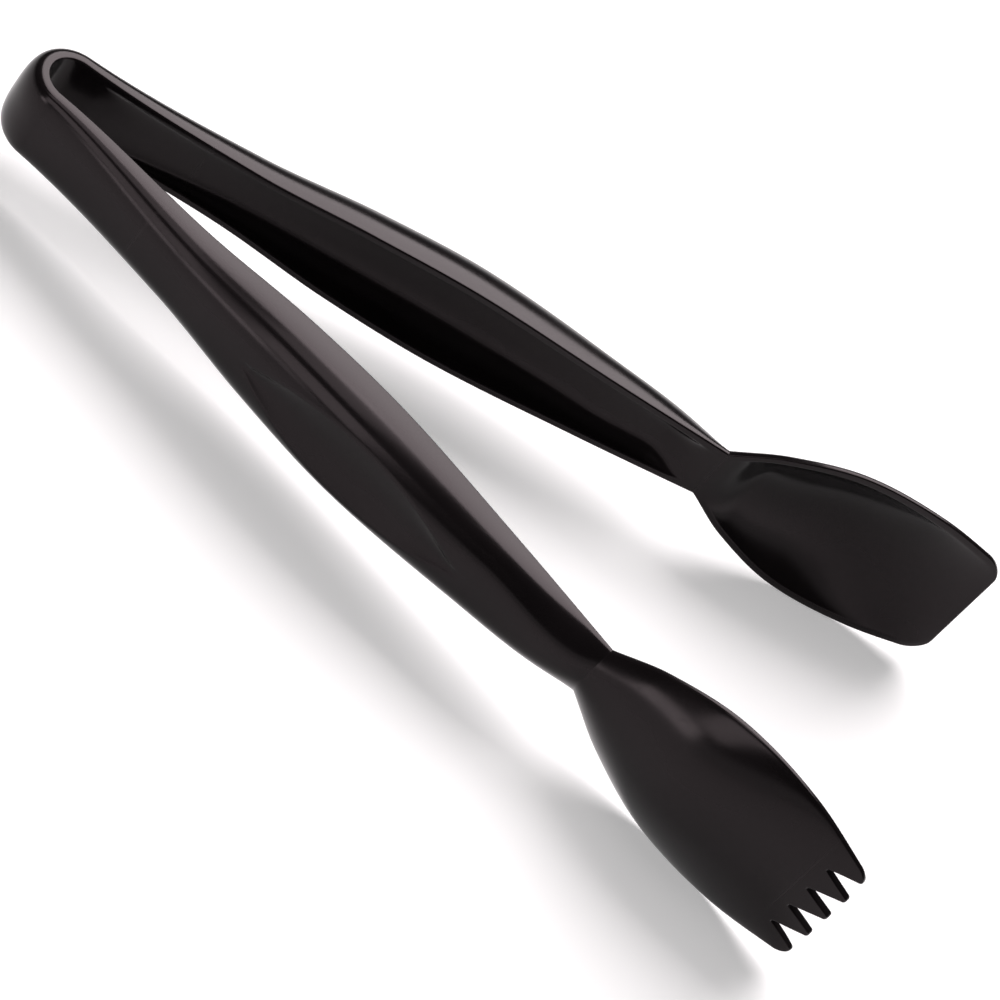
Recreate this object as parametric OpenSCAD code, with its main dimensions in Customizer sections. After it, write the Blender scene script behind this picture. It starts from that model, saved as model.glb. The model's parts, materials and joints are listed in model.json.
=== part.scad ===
// One-piece salad tongs lying on their side: a spring bow, two channelled arms with a thumb dish,
// a five-tined fork on the -Y arm and a square-ended spoon on the +Y arm.
// The origin is the centre of the bow. +X points to the tips and +Z runs across the width.

/* [Bow] */
// Inside radius of the bow, which is also the hanging loop
bow_r = 5.6; // [4.6:0.1:7]
// Wall of the bow, where the spring bends
bow_wall = 4.3; // [3.4:0.1:5.2]
// Width of the bow from edge to edge
bow_width = 18.2; // [15:0.2:22]
// Angle at which each arm leaves the bow, in degrees
splay = 2.8; // [1:0.1:5]

/* [Arm] */
// Distance from the bow's centre to the throat, where the arms start to deepen
throat_x = 40; // [32:1:48]
// Distance from the bow's centre to the first finger, where the arms start to widen
finger_x = 66; // [58:1:76]
// Distance from the bow's centre to the middle of the grip
grip_x = 92; // [84:1:108]
// Distance from the bow's centre to the taper behind the neck
taper_x = 124; // [116:1:134]
// Distance from the bow's centre to the neck
neck_x = 153; // [146:1:184]
// Half of the gap between the arms at the throat
throat_gap = 11.1; // [9:0.1:13.4]
// Half of the gap between the arms at the first finger
finger_gap = 15.3; // [13:0.1:18]
// Half of the gap between the arms at the middle of the grip
grip_gap = 20.3; // [18:0.1:24]
// Half of the gap between the arms at the taper
taper_gap = 26.9; // [24:0.1:30]
// Half of the gap between the arms at the neck
neck_gap = 33.5; // [31:0.1:38]
// Width of an arm at the throat
throat_width = 17.8; // [14:0.2:22]
// Width of an arm at the first finger
finger_width = 22.4; // [18:0.2:27]
// Width of an arm at the middle of the grip
grip_width = 24; // [20:0.2:29]
// Width of an arm at the taper
taper_width = 19.4; // [16:0.2:24]
// Width of an arm at the neck
neck_width = 14.8; // [12:0.2:18]
// Depth of an arm at the throat
throat_depth = 8.8; // [7:0.1:11]
// Depth of an arm at the first finger
finger_depth = 11.8; // [9.8:0.1:14.2]
// Depth of an arm at the middle of the grip
grip_depth = 12.8; // [10.6:0.1:15.4]
// Depth of an arm at the taper
taper_depth = 10; // [8.3:0.1:12]
// Depth of an arm at the neck
neck_depth = 4.4; // [3.7:0.1:5.4]

/* [Rims] */
// Thickness of the straight edge along the rims, before the back curves away
rim_edge = 1.1; // [0.8:0.1:1.4]

/* [Channel] */
// Width of the flat rim on each side of the channel
rim_land = 1.8; // [1.2:0.1:3]
// Thickness of the web between the channel and the back of the arm, dish included
web = 4.8; // [4:0.1:6]
// Length over which the channel runs out in front of the neck
channel_runout = 14; // [8:1:20]

/* [Thumb dish] */
// Length of the dish in the back of each arm
dish_length = 60; // [45:1:72]
// Width of the dish
dish_width = 15.6; // [10:0.2:18]
// Depth of the dish
dish_depth = 2.2; // [1:0.1:2.8]

/* [Heads] */
// Angle of the rims of both heads to the centre plane, in degrees
rim_angle = 13.1; // [11:0.1:16]
// Length of the spoon from the neck to its lip
spoon_length = 62; // [51:0.2:74]
// Length of the fork from the neck to the points of its tines
fork_length = 65.6; // [55:0.2:80]
// Width of a head at its shoulders
shoulder_width = 28.8; // [25:0.2:35]
// Width of a head at its belly
belly_width = 40.4; // [35:0.2:49]
// Width of a head in front of its belly
fore_width = 40.6; // [35:0.2:49]
// Width of the spoon's lip
lip_width = 33; // [28:0.2:40]
// Width of the fork across its tines
tines_width = 31.2; // [29:0.2:38]
// Depth of a head at its shoulders
shoulder_depth = 6.4; // [5.3:0.1:7.7]
// Depth of a head at its belly
belly_depth = 8.8; // [7.3:0.1:10.6]
// Depth of a head in front of its belly
fore_depth = 5.4; // [4.5:0.1:6.5]
// Depth of the spoon at its lip
lip_depth = 2; // [1.6:0.1:2.6]
// Depth of the fork at the points of its tines
point_depth = 1.3; // [1.1:0.1:1.6]
// Wall of the bowls
bowl_wall = 2; // [1.6:0.1:2.6]
// Radius of the corners of the spoon's lip
lip_corner = 5; // [2:0.5:7]
// Radius of the outer corners of the fork
fork_corner = 3; // [1:0.2:4]

/* [Tines] */
// Number of tines
tines = 5; // [4:1:6]
// Depth of the notches between the tines
notch_depth = 7.6; // [5:0.2:9]
// Width of a notch at its mouth
notch_mouth = 5.9; // [3:0.1:6.1]
// Distance from the middle of one tine to the next
tine_pitch = 6.9; // [6:0.1:7.4]
// Distance by which the notches are set towards one edge, which leaves one outer tine the wider
notch_offset = 0.4; // [0:0.1:0.8]
// Length of the strip at the foot of the tines
tine_root = 1.6; // [1:0.2:4]

/* [Hidden] */

black_plastic = [0.02, 0.018, 0.019];
round_steps = 96;

// Points across a section: each side of the back, and the band that the dish takes in the middle
side_steps = 8;
dish_steps = 8;
// Spacing of the sections along an arm and along a head
arm_step = 2.6;
head_step = 2.6;
// The back of an arm is a superellipse of this power, and that of a bowl is flatter at its rims
arm_power = 3;
bowl_power = 2;
bowl_rise = 0.85;
// Half-width of the dish's band beyond the dish's points
dish_point = 1.2;
// Rates at which an arm's back rises where it leaves the bow and falls where it meets the neck
root_deepening = 0.1;
neck_fall = 0.55;

// The point where an arm's inner edge leaves the bow
root_x = -bow_r * sin(splay);
root_gap = bow_r * cos(splay);
fork_tip_x = neck_x + fork_length;
fork_root_x = fork_tip_x - notch_depth - tine_root;

arm_x = [root_x, throat_x, finger_x, grip_x, taper_x, neck_x];
gaps = [root_gap, throat_gap, finger_gap, grip_gap, taper_gap, neck_gap];
arm_widths = [bow_width, throat_width, finger_width, grip_width, taper_width, neck_width];
arm_depths = [bow_wall, throat_depth, finger_depth, grip_depth, taper_depth, neck_depth];
// Where a head's shoulders, belly and fore part lie, as shares of its length
head_shares = [0, 0.17, 0.42, 0.72, 1];
spoon_depths = [neck_depth, shoulder_depth, belly_depth, fore_depth, lip_depth];
fork_depths = [neck_depth, shoulder_depth, belly_depth, fore_depth, point_depth];
spoon_widths = [neck_width, shoulder_width, belly_width, fore_width, lip_width];
fork_widths = [neck_width, shoulder_width, belly_width, fore_width, tines_width];

// Smooth curve through the points (xs, vs), with its slopes at the ends given or taken as chords
function segment(xs, x, i = 0) = i >= len(xs) - 2 || x < xs[i + 1] ? i : segment(xs, x, i + 1);
function chord(xs, vs, i, j) = (vs[j] - vs[i]) / (xs[j] - xs[i]);
function slope_at(xs, vs, i, first, last) =
    i == 0 ? (is_undef(first) ? chord(xs, vs, 0, 1) : first)
    : i == len(xs) - 1 ? (is_undef(last) ? chord(xs, vs, i - 1, i) : last)
    : chord(xs, vs, i - 1, i + 1);
function curve(xs, vs, x, first, last) =
    let (
        i = segment(xs, x),
        h = xs[i + 1] - xs[i],
        t = (x - xs[i]) / h,
        m0 = slope_at(xs, vs, i, first, last) * h,
        m1 = slope_at(xs, vs, i + 1, first, last) * h
    )
    (2 * t ^ 3 - 3 * t ^ 2 + 1) * vs[i] + (t ^ 3 - 2 * t ^ 2 + t) * m0
    + (3 * t ^ 2 - 2 * t ^ 3) * vs[i + 1] + (t ^ 3 - t ^ 2) * m1;
function ease(t) = let (c = min(1, max(0, t))) c * c * (3 - 2 * c);
function blend(a, b, t) = a + (b - a) * t;

// The inner edge of an arm and the rim of its head are one line
function gap(x) =
    x > neck_x ? neck_gap + (x - neck_x) * tan(rim_angle)
    : curve(arm_x, gaps, x, tan(splay), tan(rim_angle));
function heading(x) =
    x <= root_x ? splay
    : x >= neck_x ? rim_angle
    : atan2(gap(x + 0.01) - gap(x - 0.01), 0.02);

// Half-width and depth of an arm and of a head
function arm_half(x) = curve(arm_x, arm_widths, x) / 2;
function arm_depth(x) = curve(arm_x, arm_depths, x, root_deepening, -neck_fall);
function head_x(length) = [for (share = head_shares) neck_x + share * length];
function corner_cut(x, tip, r) = let (d = max(0, x - tip + r)) r - sqrt(max(0, r * r - d * d));
function head_half(x, length, widths, corner) =
    curve(head_x(length), widths, x) / 2 - corner_cut(x, neck_x + length, corner);
function head_depth(x, length, depths) = curve(head_x(length), depths, x);

// The dish lies on the middle of the grip
function dish_reach(x) = 1 - ((x - grip_x) / (dish_length / 2)) ^ 2;
function dish_half(x) = max(dish_point, dish_width / 2 * dish_reach(x));
function dish_sink(x, z) =
    dish_reach(x) <= 0 ? 0
    : dish_depth * dish_reach(x) * max(0, 1 - (z / dish_half(x)) ^ 2);
function channel_depth(x) = max(0, arm_depth(x) - web) * ease((neck_x - x) / channel_runout);

// Positions across a half-width, from -half to half, closer together towards the rims
function side_share(i, n) = 1 - (1 - i / n) ^ 2;
function across(half, middle, n) = concat(
    [for (i = [n:-1:1]) -middle - (half - middle) * side_share(i, n)],
    [for (i = [0:dish_steps]) middle * (2 * i / dish_steps - 1)],
    [for (i = [1:n]) middle + (half - middle) * side_share(i, n)]);
// The section of an arm turns into that of a bowl between the taper and the neck
function bowl_share(x) = min(1, max(0, (x - taper_x) / (neck_x - taper_x)) ^ 2);
function crown(z, half, x) =
    max(0, 1 - abs(z / half) ^ blend(arm_power, bowl_power, bowl_share(x)))
    ^ blend(1 / arm_power, bowl_rise, bowl_share(x));

// The back and the inner face of a section, as [outward, across] points with equally many in each
function back_points(half, middle, depth, sink, x) = concat(
    [[0, -half]],
    [for (z = across(half, middle, side_steps))
        [rim_edge + (depth - rim_edge) * crown(z, half, x) - (sink ? dish_sink(x, z) : 0), z]],
    [[0, half]]);
function inner_points(half, middle, depth, x) =
    [for (z = across(half, middle, side_steps + 1)) [depth * crown(z, half, x), z]];
function arm_section(x) = [
    back_points(arm_half(x), dish_half(x), arm_depth(x), true, x),
    inner_points(arm_half(x) - rim_land, dish_half(x), channel_depth(x), x)
];
function head_section(x, length, widths, depths, corner) =
    let (
        half = head_half(x, length, widths, corner),
        depth = head_depth(x, length, depths),
        hollow = (depth - bowl_wall) * ease((x - neck_x) / (head_shares[1] * length))
    )
    [
        back_points(half, dish_point, depth, false, x),
        inner_points(half - rim_land, dish_point, hollow, x)
    ];

// Carries a section to its place on the +Y side: the back's points first, then the inner face's
function placed(section, x) =
    let (a = heading(x))
    [for (side = section) for (p = side) [x - p[0] * sin(a), gap(x) + p[0] * cos(a), p[1]]];

// A closed shell through placed sections, all with the same number of points
module shell(rings) {
    n = len(rings[0]);
    m = n / 2;
    last = len(rings) - 1;
    // Points in order round a section: along the back and home along the inner face
    function around(k) = let (j = k % n) j < m ? j : n + m - 1 - j;
    function at(ring, k) = ring * n + around(k);
    walls = [for (r = [0:last - 1]) for (k = [0:n - 1]) each [
        [at(r, k), at(r + 1, k), at(r + 1, k + 1)],
        [at(r, k), at(r + 1, k + 1), at(r, k + 1)]]];
    // Each end is closed between the back and the inner face, which may be one flat line there
    first_end = [for (k = [0:m - 2]) each k < m / 2 - 1
        ? [[k, k + 1, m + k], [k + 1, m + k + 1, m + k]]
        : [[k, k + 1, m + k + 1], [k, m + k + 1, m + k]]];
    last_end = [for (f = first_end) [for (i = [2:-1:0]) last * n + f[i]]];
    polyhedron(points = [for (ring = rings) each ring], faces = concat(walls, first_end, last_end));
}

function steps(from, to, step) = let (n = ceil((to - from) / step)) [for (i = [0:n]) from + (to - from) * i / n];
function corner_steps(tip, r) = [for (a = [15:15:90]) tip - r + r * sin(a)];

module arm() {
    color(black_plastic)
        shell([for (x = steps(root_x, neck_x, arm_step)) placed(arm_section(x), x)]);
}

module head(xs, length, widths, depths, corner) {
    shell([for (x = xs) placed(head_section(x, length, widths, depths, corner), x)]);
}

// The bow: a half ring whose inside is a true cylinder, with the arms' own section
module spring_bow() {
    section = arm_section(root_x);
    color(black_plastic)
        rotate([0, 0, 90 + splay])
            rotate_extrude(angle = 180 - 2 * splay, $fn = round_steps)
                translate([bow_r, 0])
                    polygon(section[0]);
}

module spoon_arm() {
    arm();
}

module fork_arm() {
    mirror([0, 1, 0]) arm();
}

module spoon_bowl() {
    tip = neck_x + spoon_length;
    color(black_plastic)
        head(concat(steps(neck_x, tip - lip_corner, head_step), corner_steps(tip, lip_corner)),
            spoon_length, spoon_widths, spoon_depths, lip_corner);
}

module fork_bowl() {
    color(black_plastic)
        mirror([0, 1, 0])
            head(steps(neck_x, fork_root_x, head_step),
                fork_length, fork_widths, fork_depths, fork_corner);
}

// One notch, a V that is cut straight through the wall
module notch() {
    beyond = 2;
    reach = notch_mouth / 2 * (notch_depth + beyond) / notch_depth;
    linear_extrude(height = 4 * belly_depth, center = true)
        polygon([[0, 0], [notch_depth + beyond, reach], [notch_depth + beyond, -reach]]);
}

module fork_tines() {
    color(black_plastic)
        mirror([0, 1, 0])
            difference() {
                head(concat(steps(fork_root_x, fork_tip_x - fork_corner, head_step),
                        corner_steps(fork_tip_x, fork_corner)),
                    fork_length, fork_widths, fork_depths, fork_corner);
                for (i = [1:tines - 1])
                    translate([fork_tip_x, gap(fork_tip_x), (i - tines / 2) * tine_pitch + notch_offset])
                        rotate([0, 0, rim_angle])
                            translate([-notch_depth, 0, 0])
                                rotate([90, 0, 0])
                                    notch();
            }
}

spring_bow();
fork_arm();
fork_bowl();
fork_tines();
spoon_arm();
spoon_bowl();
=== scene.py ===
"""One-piece salad tongs in gloss black plastic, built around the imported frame."""

import json
import math

import bmesh
import bpy
import numpy as np
from mathutils import Matrix, Vector

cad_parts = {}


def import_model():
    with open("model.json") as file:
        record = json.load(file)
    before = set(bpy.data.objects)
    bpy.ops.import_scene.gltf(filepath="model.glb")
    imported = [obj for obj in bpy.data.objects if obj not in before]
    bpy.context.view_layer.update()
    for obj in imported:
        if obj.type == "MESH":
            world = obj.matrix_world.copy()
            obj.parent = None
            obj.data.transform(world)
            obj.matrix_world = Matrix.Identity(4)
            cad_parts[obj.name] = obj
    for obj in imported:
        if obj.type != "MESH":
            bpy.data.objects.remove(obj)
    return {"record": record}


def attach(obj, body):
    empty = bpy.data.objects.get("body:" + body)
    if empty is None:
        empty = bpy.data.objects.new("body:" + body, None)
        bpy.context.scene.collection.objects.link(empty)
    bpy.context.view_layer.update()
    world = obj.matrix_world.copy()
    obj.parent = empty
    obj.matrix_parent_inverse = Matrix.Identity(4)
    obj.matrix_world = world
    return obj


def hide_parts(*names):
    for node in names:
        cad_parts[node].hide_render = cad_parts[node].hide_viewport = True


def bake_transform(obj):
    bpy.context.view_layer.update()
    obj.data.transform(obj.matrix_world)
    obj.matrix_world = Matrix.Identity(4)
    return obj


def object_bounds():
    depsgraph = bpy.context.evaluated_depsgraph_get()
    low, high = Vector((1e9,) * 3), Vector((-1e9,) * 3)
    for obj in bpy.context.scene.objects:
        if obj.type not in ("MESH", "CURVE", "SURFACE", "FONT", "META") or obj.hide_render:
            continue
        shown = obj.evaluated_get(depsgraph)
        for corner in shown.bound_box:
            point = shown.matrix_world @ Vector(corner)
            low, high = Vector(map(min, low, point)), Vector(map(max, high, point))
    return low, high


MM = 0.001

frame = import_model()
cad_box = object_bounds()

# ---------------------------------------------------------------- sizes, as in the part (mm)
BOW_R = frame["record"]["mounts"][0]["dims"]["r_mm"]
SPLAY = math.radians(2.8)
NECK_X = 153.0
RIM_ANGLE = math.radians(13.1)
ROOT_X = -BOW_R * math.sin(SPLAY)
ROOT_GAP = BOW_R * math.cos(SPLAY)
SPOON_TIP = NECK_X + 62.0
FORK_TIP = NECK_X + 65.6

ARM_X = [ROOT_X, 40.0, 66.0, 92.0, 124.0, NECK_X]
GAPS = [ROOT_GAP, 11.1, 15.3, 20.3, 26.9, 33.5]
ARM_WIDTHS = [18.2, 17.8, 22.4, 24.0, 19.4, 14.8]
ARM_DEPTHS = [4.3, 8.8, 11.8, 12.8, 10.0, 4.4]
ROOT_DEEPENING, NECK_FALL = 0.1, 0.55
RIM_EDGE, RIM_LAND = 1.1, 1.8
WEB, CHANNEL_RUNOUT = 4.8, 14.0
GRIP_X, DISH_LENGTH, DISH_WIDTH, DISH_DEPTH, DISH_POINT = 92.0, 60.0, 15.6, 2.2, 1.2
HEAD_SHARES = [0.0, 0.17, 0.42, 0.72, 1.0]
SPOON_WIDTHS = [14.8, 28.8, 40.4, 40.6, 33.0]
FORK_WIDTHS = [14.8, 28.8, 40.4, 40.6, 31.2]
SPOON_DEPTHS = [4.4, 6.4, 8.8, 5.4, 2.0]
FORK_DEPTHS = [4.4, 6.4, 8.8, 5.4, 1.3]
BOWL_WALL = 2.0
LIP_CORNER, FORK_CORNER = 5.0, 3.0
TINES, NOTCH_DEPTH, NOTCH_MOUTH = 5, 7.6, 5.9
TINE_PITCH, NOTCH_OFFSET, TINE_ROOT = 6.9, 0.4, 1.6
ARM_POWER, BOWL_POWER, BOWL_RISE = 3.0, 2.0, 0.85

# How finely the moulding is drawn, and the small radii that a mould leaves
EDGE_R = 0.42
LIP_EDGE = 0.45
NOTCH_R = 0.25
TIP_ROUND = 0.5
TIP_SHRINK = 0.6
TINE_EDGE = 0.3
LEAST_TIP = 0.8
CORNER_STEPS = 5
# The bow's own piece runs into the arm up to here
SPLIT_X = 30.0
RING_STEP = 0.8


# ---------------------------------------------------------------- the part's own curves
def curve(xs, vs, x, first=None, last=None):
    xs, vs = np.array(xs, float), np.array(vs, float)
    slopes = np.empty(len(xs))
    slopes[1:-1] = (vs[2:] - vs[:-2]) / (xs[2:] - xs[:-2])
    slopes[0] = (vs[1] - vs[0]) / (xs[1] - xs[0]) if first is None else first
    slopes[-1] = (vs[-1] - vs[-2]) / (xs[-1] - xs[-2]) if last is None else last
    i = int(np.clip(np.searchsorted(xs, x, side="right") - 1, 0, len(xs) - 2))
    h = xs[i + 1] - xs[i]
    t = (x - xs[i]) / h
    return ((2 * t**3 - 3 * t**2 + 1) * vs[i] + (t**3 - 2 * t**2 + t) * slopes[i] * h
            + (3 * t**2 - 2 * t**3) * vs[i + 1] + (t**3 - t**2) * slopes[i + 1] * h)


def ease(t):
    c = min(1.0, max(0.0, t))
    return c * c * (3 - 2 * c)


def gap(x):
    if x > NECK_X:
        return GAPS[-1] + (x - NECK_X) * math.tan(RIM_ANGLE)
    return curve(ARM_X, GAPS, x, math.tan(SPLAY), math.tan(RIM_ANGLE))


def heading(x):
    if x <= ROOT_X:
        return SPLAY
    if x >= NECK_X:
        return RIM_ANGLE
    return math.atan2(gap(x + 0.01) - gap(x - 0.01), 0.02)


def crown(z, half, x):
    share = min(1.0, max(0.0, (x - ARM_X[-2]) / (NECK_X - ARM_X[-2])) ** 2)
    power = ARM_POWER + (BOWL_POWER - ARM_POWER) * share
    rise = 1 / ARM_POWER + (BOWL_RISE - 1 / ARM_POWER) * share
    return np.maximum(0, 1 - np.abs(z / half) ** power) ** rise


def dish_half(x):
    return max(DISH_POINT, DISH_WIDTH / 2 * (1 - ((x - GRIP_X) / (DISH_LENGTH / 2)) ** 2))


def dish_sink(x, z):
    reach = 1 - ((x - GRIP_X) / (DISH_LENGTH / 2)) ** 2
    if reach <= 0:
        return np.zeros_like(z)
    return DISH_DEPTH * reach * np.maximum(0, 1 - (z / dish_half(x)) ** 2)


def corner_cut(x, tip, r):
    d = min(r, max(0.0, x - tip + r))
    return r - math.sqrt(max(0.0, r * r - d * d))


class Section:
    """The sizes of the moulding's cross-section at one place."""

    def __init__(self, x, head=None):
        self.x = x
        if head is None:
            self.half = curve(ARM_X, ARM_WIDTHS, x) / 2
            self.depth = curve(ARM_X, ARM_DEPTHS, x, ROOT_DEEPENING, -NECK_FALL)
            self.hollow = max(0.0, self.depth - WEB) * ease((NECK_X - x) / CHANNEL_RUNOUT)
            self.middle = dish_half(x)
        else:
            tip, widths, depths, corner = head
            length = tip - NECK_X
            xs = [NECK_X + share * length for share in HEAD_SHARES]
            self.half = curve(xs, widths, x) / 2 - corner_cut(x, tip, corner)
            self.depth = curve(xs, depths, x)
            self.hollow = (self.depth - BOWL_WALL) * ease((x - NECK_X) / (HEAD_SHARES[1] * length))
            self.middle = 0.0
        self.land = RIM_LAND

    def back(self, z):
        height = RIM_EDGE + (self.depth - RIM_EDGE) * crown(z, self.half, self.x)
        return height - dish_sink(self.x, z) if self.middle else height

    def inner(self, z):
        return self.hollow * crown(z, self.half - self.land, self.x)


# ---------------------------------------------------------------- cross-sections as closed loops
def clustered(n):
    """n + 1 places from -1 to 1, close together at both ends."""
    t = np.linspace(-1, 1, n + 1)
    return np.sign(t) * (1 - (1 - np.abs(t)) ** 3)


def arc_length(points):
    return np.concatenate([[0], np.cumsum(np.hypot(*np.diff(points, axis=0).T))])


def at_length(points, lengths, where):
    return np.stack([np.interp(where, lengths, points[:, k]) for k in (0, 1)], axis=1)


def corner(before, point, after, steps=CORNER_STEPS):
    """The points of a small round corner, without its first and last."""
    t = np.arange(1, steps)[:, None] / steps
    return (1 - t) ** 2 * before + 2 * t * (1 - t) * point + t**2 * after


def resampled(line, marks, counts):
    """The line cut back by EDGE_R at both ends, with counts[i] steps between the marks."""
    lengths = arc_length(line)
    stops = [EDGE_R] + [float(np.interp(m, line[:, 1], lengths)) for m in marks] + [lengths[-1] - EDGE_R]
    where = [stops[0]]
    for a, b, n in zip(stops, stops[1:], counts):
        where += list(a + (b - a) * np.arange(1, n + 1) / n)
    return at_length(line, lengths, np.array(where))


def lines(section, dense=400):
    """The back and the inner face, rim to rim, as [outward, across] points."""
    z = clustered(dense) * section.half
    back = np.stack([section.back(z), z], axis=1)
    z = clustered(dense) * (section.half - section.land)
    return back, np.stack([section.inner(z), z], axis=1)


def rim(section, sign, back_end, inner_end, r=EDGE_R):
    """The points round a rim: two round corners on its straight edge, and one into the hollow."""
    half, land = sign * section.half, sign * (section.half - section.land)
    top, low = np.array([RIM_EDGE - r, half]), np.array([r, half])
    flat, far = np.array([0, half - sign * r]), np.array([0, land + sign * r])
    return np.vstack([
        corner(back_end, np.array([RIM_EDGE, half]), top), top, low,
        corner(low, np.array([0, half]), flat), flat, far,
        corner(far, np.array([0, land]), inner_end)])


def closed(back, right, inner, left):
    return np.vstack([back, right, inner[::-1], left[::-1]])


def loop(section):
    """A closed outline: along the back, round one rim, home along the inner face, round the other."""
    back, inner = lines(section)
    if section.middle:
        back = resampled(back, [-section.middle, section.middle], [18, 20, 18])
        inner = resampled(inner, [], [40])
    else:
        back = resampled(back, notch_places(section), BACK_COUNTS)
        inner = resampled(inner, notch_places(section), INNER_COUNTS)
    return closed(back, rim(section, 1, back[-1], inner[-1]), inner, rim(section, -1, back[0], inner[0]))


def notch_places(section):
    """Where the middles of the notches run along a head; they close up towards the neck."""
    width = 1 if section.x >= FORK_ROOT else min(1.0, section.half / ROOT_HALF)
    return [((i - TINES / 2) * TINE_PITCH + NOTCH_OFFSET) * width for i in range(1, TINES)]


def thinned(points, section, amount):
    """The outline with its two faces brought nearer by the amount each."""
    z = points[:, 1]
    low = section.inner(np.clip(z, section.land - section.half, section.half - section.land))
    middle, reach = (section.back(z) + low) / 2, (section.back(z) - low) / 2
    share = 1 - amount / np.maximum(reach, RIM_EDGE / 2)
    return np.stack([middle + (points[:, 0] - middle) * share, z], axis=1)


BACK_COUNTS = [12, 10, 10, 10, 12]
INNER_COUNTS = [9, 10, 10, 10, 9]
HEADS = {
    "fork": (FORK_TIP, FORK_WIDTHS, FORK_DEPTHS, FORK_CORNER),
    "spoon": (SPOON_TIP, SPOON_WIDTHS, SPOON_DEPTHS, LIP_CORNER),
}
FORK_ROOT = FORK_TIP - NOTCH_DEPTH - TINE_ROOT
ROOT_HALF = Section(FORK_ROOT, HEADS["fork"]).half


# ---------------------------------------------------------------- from a section to its place
def placed(points, x, side):
    """Arm and head: on the -Y side for the fork (side -1), +Y for the spoon (side 1)."""
    a = heading(x)
    out, across = points[:, 0], points[:, 1]
    return np.stack([x - out * math.sin(a), side * (gap(x) + out * math.cos(a)), across], axis=1) * MM


def round_bow(points, angle, side):
    out, across = BOW_R + points[:, 0], points[:, 1]
    return np.stack([out * math.cos(angle), side * out * math.sin(angle), across], axis=1) * MM


class Shell:
    """A mesh through rings of points, each ring joined to the one before."""

    def __init__(self):
        self.points, self.faces, self.caps = [], [], []

    def add(self, ring):
        first = len(self.points)
        self.points += [tuple(p) for p in ring]
        return list(range(first, first + len(ring)))

    def tube(self, rings, cap_start=True, cap_end=True):
        """Joins the rings, and closes the ends that are to be closed."""
        ids = [self.add(r) for r in rings]
        n = len(ids[0])
        for a, b in zip(ids, ids[1:]):
            for k in range(n):
                j = (k + 1) % n
                self.faces.append((a[k], a[j], b[j], b[k]))
        if cap_start:
            self.caps.append(ids[0][::-1])
        if cap_end:
            self.caps.append(ids[-1])
        return ids

    def make(self, name, material, body=None, nodes=()):
        mesh = bpy.data.meshes.new(name)
        mesh.from_pydata(self.points, [], self.faces + self.caps)
        bm = bmesh.new()
        bm.from_mesh(mesh)
        bm.faces.ensure_lookup_table()
        cap_faces = [bm.faces[i] for i in range(len(self.faces), len(bm.faces))]
        for f in bm.faces:
            f.smooth = True
        for f in cap_faces:
            f.smooth = False
            for e in f.edges:
                e.smooth = False
        bmesh.ops.remove_doubles(bm, verts=bm.verts, dist=2e-7)
        bmesh.ops.recalc_face_normals(bm, faces=bm.faces)
        if bm.calc_volume(signed=True) < 0:
            bmesh.ops.reverse_faces(bm, faces=bm.faces)
        bm.to_mesh(mesh)
        bm.free()
        mesh.materials.append(material)
        piece = bpy.data.objects.new(name, mesh)
        bpy.context.scene.collection.objects.link(piece)
        if body:
            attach(piece, body)
        if nodes:
            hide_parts(*nodes)
        return piece


def spaced(start, end, step):
    n = max(1, math.ceil((end - start) / step - 1e-9))
    return [start + (end - start) * i / n for i in range(n + 1)]


def bow_half(name, material, side):
    shell = Shell()
    root = loop(Section(ROOT_X))
    rings = [round_bow(root, a, side)
             for a in np.linspace(math.pi, math.pi / 2 + SPLAY, 56)]
    rings += [placed(loop(Section(x)), x, side) for x in spaced(ROOT_X, SPLIT_X, 0.6)[1:]]
    shell.tube(rings)
    piece = shell.make(name, material, nodes=["spring_bow"])
    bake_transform(piece)
    return piece


def arm(name, material, side, body, node):
    shell = Shell()
    shell.tube([placed(loop(Section(x)), x, side) for x in spaced(SPLIT_X, NECK_X, RING_STEP)])
    return shell.make(name, material, body, [node])


def corner_stations(tip, r, edge, steps=26):
    """Stations over a rounded corner in plan, up to where the lip's own edge rounds off."""
    last = math.asin(min(1.0, (r - edge) / r))
    return [tip - r + r * math.sin(a) for a in np.linspace(0, last, steps)]


def spoon_bowl(material):
    tip, head = SPOON_TIP, HEADS["spoon"]
    shell = Shell()
    stations = spaced(NECK_X, tip - LIP_CORNER, 0.7) + corner_stations(tip, LIP_CORNER, LIP_EDGE)[1:]
    rings = [placed(loop(Section(x, head)), x, 1) for x in stations]
    for a in np.linspace(0, math.pi / 2, 10)[1:]:
        x = tip - LIP_EDGE + LIP_EDGE * math.sin(a)
        section = Section(x, head)
        rings.append(placed(thinned(loop(section), section, LIP_EDGE * (1 - math.cos(a))), x, 1))
    shell.tube(rings)
    return shell.make("spoon_bowl_moulding", material, "spoon_side", ["spoon_bowl"])


def fork_bowl(material):
    shell = Shell()
    shell.tube([placed(loop(Section(x, HEADS["fork"])), x, -1) for x in spaced(NECK_X, FORK_ROOT, 0.7)])
    return shell.make("fork_bowl_moulding", material, "fork_side", ["fork_bowl"])


# ---------------------------------------------------------------- the tines
NOTCH_SLOPE = NOTCH_MOUTH / 2 / NOTCH_DEPTH
NOTCH_ANGLE = math.atan(NOTCH_SLOPE)
NOTCH_APEX = FORK_TIP - NOTCH_DEPTH * math.cos(RIM_ANGLE)


def notch_stations(end):
    """Places along a notch from its round bottom, as [x, half of its width]."""
    centre = NOTCH_R / math.sin(NOTCH_ANGLE)
    places = [(centre - NOTCH_R * math.cos(a), NOTCH_R * math.sin(a))
              for a in np.linspace(0, math.pi / 2 - NOTCH_ANGLE, 9)]
    last = (end - NOTCH_APEX) / math.cos(RIM_ANGLE)
    places += [(d, d * NOTCH_SLOPE) for d in spaced(places[-1][0], last, 0.3)[1:]]
    return [(NOTCH_APEX + d * math.cos(RIM_ANGLE), g) for d, g in places]


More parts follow.
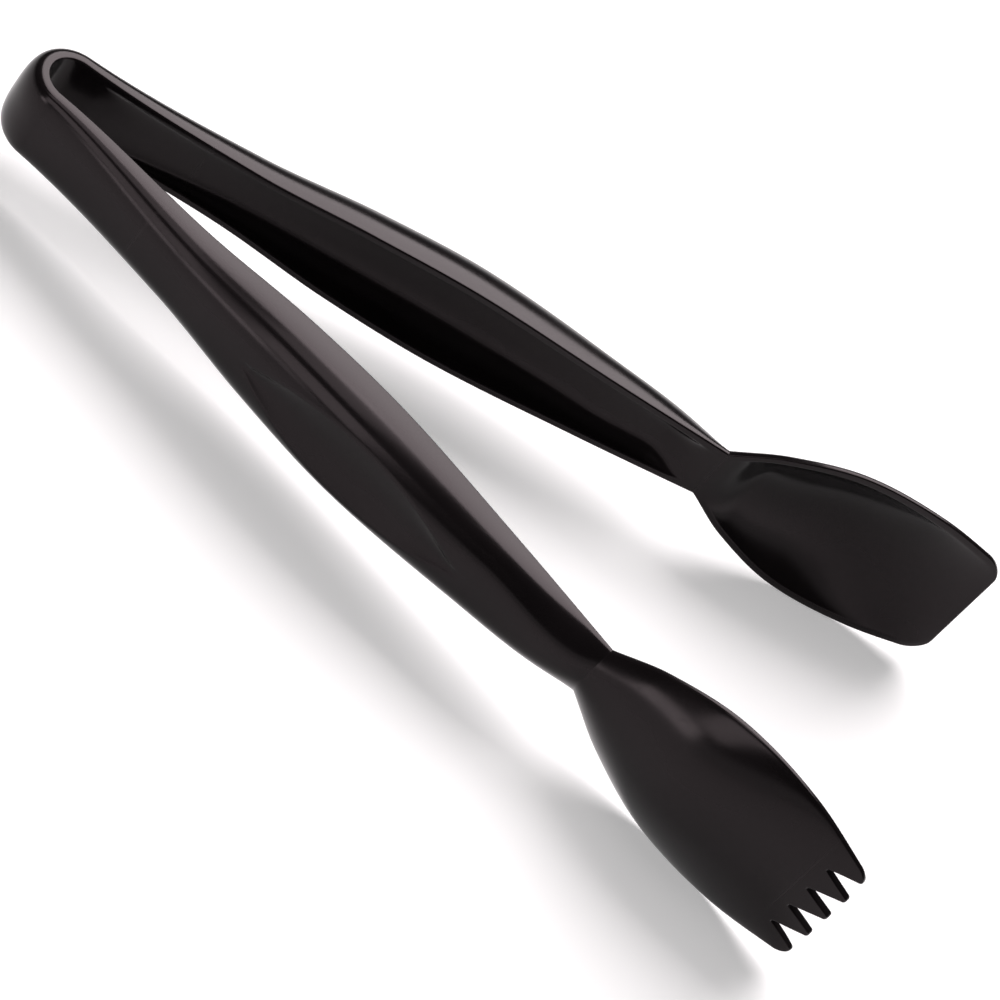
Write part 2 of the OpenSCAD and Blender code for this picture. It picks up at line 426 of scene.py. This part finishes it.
def tine_loop(x, i, g):
    """The outline of one tine: its sides are a rim of the fork or a wall of a notch."""
    section = Section(x, HEADS["fork"])
    middles = notch_places(section)
    left = -section.half if i == 0 else middles[i - 1] + g
    right = section.half if i == TINES - 1 else middles[i] - g
    width = right - left
    rim_r, notch_r = min(EDGE_R, 0.2 * width), min(TINE_EDGE, 0.9 * g, 0.2 * width)
    if i in (0, TINES - 1):
        section.land = min(RIM_LAND, 0.45 * width)
    sides = ((-1, left, rim_r if i == 0 else notch_r), (1, right, rim_r if i == TINES - 1 else notch_r))
    cut = []
    for line, n in zip(lines(section), (BACK_COUNTS[i], INNER_COUNTS[i])):
        lengths = arc_length(line)
        start, end = (np.interp(z, line[:, 1], lengths) - sign * r for sign, z, r in sides)
        cut.append(at_length(line, lengths, np.linspace(start, end, n + 1)))
    back, inner = cut
    blocks = []
    for (sign, z, r), b, n in zip(sides, (back[0], back[-1]), (inner[0], inner[-1])):
        if (i, sign) in ((0, -1), (TINES - 1, 1)):
            blocks.append(rim(section, sign, b, n, r))
            continue
        top, low = (float(f(np.array(z))) for f in (section.back, section.inner))
        blocks.append(np.vstack([
            corner(b, np.array([top, z]), np.array([top - r, z])), [[top - r, z], [low + r, z]],
            corner(np.array([low + r, z]), np.array([low, z]), n)]))
    return closed(back, blocks[1], inner, blocks[0])


def tine_end(i):
    """Where a tine ends: an outer one stops where the round corner has narrowed it."""
    x = FORK_TIP
    while True:
        half = Section(x, HEADS["fork"]).half
        g = (x - NOTCH_APEX) / math.cos(RIM_ANGLE) * NOTCH_SLOPE
        middles = notch_places(Section(x, HEADS["fork"]))
        width = {0: middles[0] - g + half, TINES - 1: half - middles[-1] - g}.get(i, LEAST_TIP)
        if width >= LEAST_TIP:
            return x
        x -= 0.02


def shrunk(points, share):
    middle = points.mean(axis=0)
    return middle + (points - middle) * share


def fork_tines(material):
    shell = Shell()
    bottom = notch_stations(FORK_TIP)[0][0]
    shell.tube([placed(loop(Section(x, HEADS["fork"])), x, -1) for x in spaced(FORK_ROOT, bottom, 0.3)],
               cap_end=False)
    for i in range(TINES):
        end = tine_end(i)
        rings = [placed(tine_loop(x, i, g), x, -1) for x, g in notch_stations(end - TIP_ROUND)]
        for a in np.linspace(0, math.pi / 2, 7)[1:]:
            x = end - TIP_ROUND + TIP_ROUND * math.sin(a)
            g = (x - NOTCH_APEX) / math.cos(RIM_ANGLE) * NOTCH_SLOPE
            points = shrunk(tine_loop(x, i, g), 1 - TIP_SHRINK * (1 - math.cos(a)))
            rings.append(placed(points, x, -1))
        shell.tube(rings, cap_start=False)
    return shell.make("fork_tines_moulding", material, "fork_side", ["fork_tines"])


# ---------------------------------------------------------------- the plastic
def black_plastic():
    """Gloss-moulded black polycarbonate: fine unevenness, flow marks, and light wear from use."""
    material = bpy.data.materials.new("gloss_black_plastic")
    material.use_nodes = True
    nodes, links = material.node_tree.nodes, material.node_tree.links
    nodes.clear()

    def node(kind, **values):
        made = nodes.new(kind)
        for key, value in values.items():
            if key in made.inputs:
                made.inputs[key].default_value = value
            else:
                setattr(made, key, value)
        return made

    out = node("ShaderNodeOutputMaterial")
    shader = node("ShaderNodeBsdfPrincipled")
    shader.inputs["IOR"].default_value = 1.5
    shader.inputs["Specular IOR Level"].default_value = 0.18
    shader.inputs["Specular Tint"].default_value = (1.0, 0.87, 0.90, 1)
    links.new(shader.outputs["BSDF"], out.inputs["Surface"])
    place = node("ShaderNodeTexCoord").outputs["Object"]

    def noise(scale, detail=2.0, roughness=0.5, stretch=None):
        made = node("ShaderNodeTexNoise", Scale=scale, Detail=detail, Roughness=roughness)
        if stretch:
            mapping = node("ShaderNodeMapping", Scale=stretch)
            links.new(place, mapping.inputs["Vector"])
            links.new(mapping.outputs["Vector"], made.inputs["Vector"])
        else:
            links.new(place, made.inputs["Vector"])
        return made.outputs["Fac"]

    def ramp(value, low, high, at=(0.0, 1.0)):
        made = node("ShaderNodeMapRange", clamp=True)
        links.new(value, made.inputs["Value"])
        for key, number in zip(("From Min", "From Max", "To Min", "To Max"), (*at, low, high)):
            made.inputs[key].default_value = number
        return made.outputs["Result"]

    def both(operation, a, b):
        made = node("ShaderNodeMath", operation=operation)
        for k, value in enumerate((a, b)):
            if isinstance(value, (int, float)):
                made.inputs[k].default_value = value
            else:
                links.new(value, made.inputs[k])
        return made.outputs["Value"]

    # Slow clouding from the melt's flow, fine scratches along the arms, and dulled edges
    cloud = noise(28, 3.0, 0.55)
    flow = noise(60, 2.0, 0.5, (0.25, 1.0, 1.0))
    scratch = ramp(noise(900, 2.0, 0.6, (0.04, 1.0, 0.35)), 0.0, 1.0, (0.64, 0.78))
    grain = noise(2600, 2.0, 0.5)
    worn = ramp(node("ShaderNodeNewGeometry").outputs["Pointiness"], 0.0, 1.0, (0.53, 0.60))
    patchy = both("MULTIPLY", worn, ramp(noise(180, 3.0, 0.6), 0.3, 1.0, (0.4, 0.65)))

    colour = node("ShaderNodeMix", data_type="RGBA")
    colour.inputs[6].default_value = (0.0045, 0.0036, 0.0039, 1)
    colour.inputs[7].default_value = (0.0070, 0.0056, 0.0060, 1)
    links.new(ramp(cloud, 0.0, 1.0, (0.35, 0.65)), colour.inputs["Factor"])
    edge = node("ShaderNodeMix", data_type="RGBA")
    edge.inputs[7].default_value = (0.030, 0.026, 0.027, 1)
    links.new(both("MULTIPLY", patchy, 0.6), edge.inputs["Factor"])
    links.new(colour.outputs[2], edge.inputs[6])
    links.new(edge.outputs[2], shader.inputs["Base Color"])

    rough = both("ADD", ramp(cloud, 0.15, 0.20, (0.35, 0.65)), ramp(grain, 0.0, 0.03, (0.4, 0.6)))
    rough = both("ADD", rough, both("MULTIPLY", scratch, 0.05))
    rough = both("ADD", rough, both("MULTIPLY", patchy, 0.08))
    links.new(rough, shader.inputs["Roughness"])

    height = both("ADD", both("MULTIPLY", flow, 1.0), both("MULTIPLY", grain, 0.05))
    height = both("SUBTRACT", height, both("MULTIPLY", scratch, 0.02))
    bump = node("ShaderNodeBump", Strength=0.25, Distance=0.00006)
    links.new(height, bump.inputs["Height"])
    links.new(bump.outputs["Normal"], shader.inputs["Normal"])
    return material


# ---------------------------------------------------------------- the tongs
plastic = black_plastic()
for side, label, arm_node in ((-1, "fork", "fork_arm"), (1, "spoon", "spoon_arm")):
    bow_half(f"bow_half_{label}", plastic, side)
    arm(f"{label}_arm_moulding", plastic, side, f"{label}_side", arm_node)
spoon_bowl(plastic)
fork_bowl(plastic)
fork_tines(plastic)

# ---------------------------------------------------------------- camera
AZIMUTH, ELEVATION, ROLL = (math.radians(a) for a in (-6.069, 43.566, 41.835))
DISTANCE, TARGET = 909.063, Vector((119.925, 0, -11.228))
LENS, SENSOR = 159.268, 36.0


def camera_axes():
    back = Vector((math.sin(AZIMUTH) * math.cos(ELEVATION),
                   -math.cos(AZIMUTH) * math.cos(ELEVATION), math.sin(ELEVATION)))
    right = Vector((math.cos(AZIMUTH), math.sin(AZIMUTH), 0))
    up = back.cross(right)
    c, s = math.cos(ROLL), math.sin(ROLL)
    return c * right + s * up, c * up - s * right, back


right, up, back = camera_axes()
camera_data = bpy.data.cameras.new("camera")
camera_data.lens, camera_data.sensor_width = LENS, SENSOR
camera_data.clip_start, camera_data.clip_end = 0.01, 50
camera = bpy.data.objects.new("camera", camera_data)
turn = Matrix((right, up, back)).transposed().to_4x4()
camera.matrix_world = Matrix.Translation((TARGET + back * DISTANCE) * MM) @ turn
bpy.context.scene.collection.objects.link(camera)
bpy.context.scene.camera = camera

# ---------------------------------------------------------------- floor, world and lamps
lo, hi = cad_box


def floor():
    size = 6.0
    mesh = bpy.data.meshes.new("floor")
    mesh.from_pydata([(-size, -size, lo[2]), (size, -size, lo[2]), (size, size, lo[2]), (-size, size, lo[2])],
                     [], [(0, 1, 2, 3)])
    material = bpy.data.materials.new("white_floor")
    material.use_nodes = True
    nodes, links = material.node_tree.nodes, material.node_tree.links
    nodes.clear()
    out = nodes.new("ShaderNodeOutputMaterial")
    paint = nodes.new("ShaderNodeBsdfDiffuse")
    paint.inputs["Color"].default_value = (0.82, 0.82, 0.82, 1)
    glow = nodes.new("ShaderNodeEmission")
    path = nodes.new("ShaderNodeLightPath")
    seen = nodes.new("ShaderNodeMath")
    seen.operation = "MAXIMUM"
    seen_too = nodes.new("ShaderNodeMath")
    seen_too.operation = "MAXIMUM"
    level = nodes.new("ShaderNodeMath")
    level.operation = "MULTIPLY"
    level.inputs[1].default_value = FLOOR_GLOW
    total = nodes.new("ShaderNodeAddShader")
    links.new(path.outputs["Is Camera Ray"], seen.inputs[0])
    links.new(path.outputs["Is Glossy Ray"], seen.inputs[1])
    links.new(seen.outputs[0], seen_too.inputs[0])
    links.new(path.outputs["Is Transmission Ray"], seen_too.inputs[1])
    links.new(seen_too.outputs[0], level.inputs[0])
    links.new(level.outputs[0], glow.inputs["Strength"])
    links.new(paint.outputs[0], total.inputs[0])
    links.new(glow.outputs[0], total.inputs[1])
    links.new(total.outputs[0], out.inputs["Surface"])
    mesh.materials.append(material)
    made = bpy.data.objects.new("floor", mesh)
    bpy.context.scene.collection.objects.link(made)


def world():
    """A white horizon under a dim grey ceiling."""
    made = bpy.data.worlds.new("studio")
    bpy.context.scene.world = made
    made.use_nodes = True
    nodes, links = made.node_tree.nodes, made.node_tree.links
    nodes.clear()
    out = nodes.new("ShaderNodeOutputWorld")
    light = nodes.new("ShaderNodeBackground")
    place = nodes.new("ShaderNodeTexCoord")
    split = nodes.new("ShaderNodeSeparateXYZ")
    fade = nodes.new("ShaderNodeMapRange")
    fade.interpolation_type = "SMOOTHSTEP"
    for key, value in (("From Min", 0.08), ("From Max", 0.24), ("To Min", 1.0), ("To Max", CEILING)):
        fade.inputs[key].default_value = value
    links.new(place.outputs["Generated"], split.inputs[0])
    links.new(split.outputs["Z"], fade.inputs["Value"])
    links.new(fade.outputs["Result"], light.inputs["Strength"])
    links.new(light.outputs[0], out.inputs["Surface"])


def softbox(name, azimuth, elevation, distance, size, radiance, colour=(1, 0.95, 0.96)):
    """A softbox that faces the middle of the tongs; azimuth 0 is +Y, 90 is +X."""
    a, e = math.radians(azimuth), math.radians(elevation)
    direction = Vector((math.sin(a) * math.cos(e), math.cos(a) * math.cos(e), math.sin(e)))
    data = bpy.data.lights.new(name, "AREA")
    data.shape = "RECTANGLE"
    data.size, data.size_y = size
    data.energy = radiance * math.pi * size[0] * size[1]
    data.color = colour
    made = bpy.data.objects.new(name, data)
    made.location = TARGET * MM + direction * distance
    made.rotation_euler = direction.to_track_quat("Z", "Y").to_euler()
    bpy.context.scene.collection.objects.link(made)


FLOOR_GLOW, CEILING = 0.3, 0.05
floor()
world()
softbox("key", 0, 52, 1.2, (0.9, 0.9), 8.0)
softbox("overhead", -60, 80, 1.2, (0.9, 0.35), 2.6)
softbox("fill", -155, 34, 1.3, (0.45, 0.8), 3.0)
softbox("window", -145, 8, 1.3, (0.35, 0.3), 4.5)
bpy.context.scene.view_settings.view_transform = "Standard"
